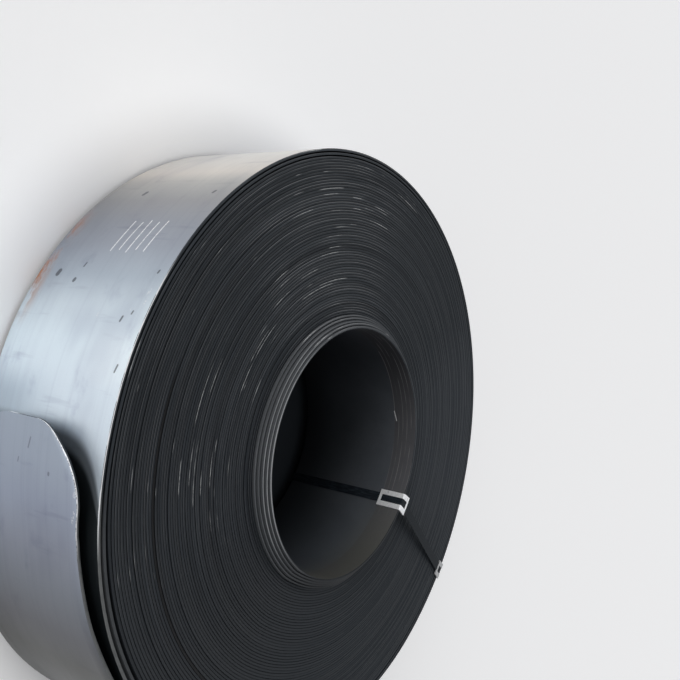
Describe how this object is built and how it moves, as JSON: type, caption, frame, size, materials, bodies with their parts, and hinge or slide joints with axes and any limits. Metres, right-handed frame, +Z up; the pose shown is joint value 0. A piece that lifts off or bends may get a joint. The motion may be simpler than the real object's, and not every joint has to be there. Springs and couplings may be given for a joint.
{
  "type": "steel coil",
  "caption": "Wound coil of hot-rolled steel strip with an open eye, a free rounded tail and one flat strap with edge guards.",
  "frame": {"origin": "on the coil's axis, at the level of the floor that it stands on", "axes": "+Z up along the coil's axis, from the back end to the front end. The free tail is on the -X side, and its tip points towards +Y."},
  "size_m": [1.8535, 1.8136, 0.5189],
  "materials": {
    "strip_steel": "hot-rolled mill scale, satin",
    "strap_steel": "dark blued",
    "seal_steel": "plain",
    "guard_steel": "galvanised"
  },
  "bodies": {
    "root": {"coil": "strip_steel", "strap": "strap_steel", "strap_seal": "seal_steel", "eye_guard": "guard_steel", "rim_guard": "guard_steel"}
  },
  "joints": []
}
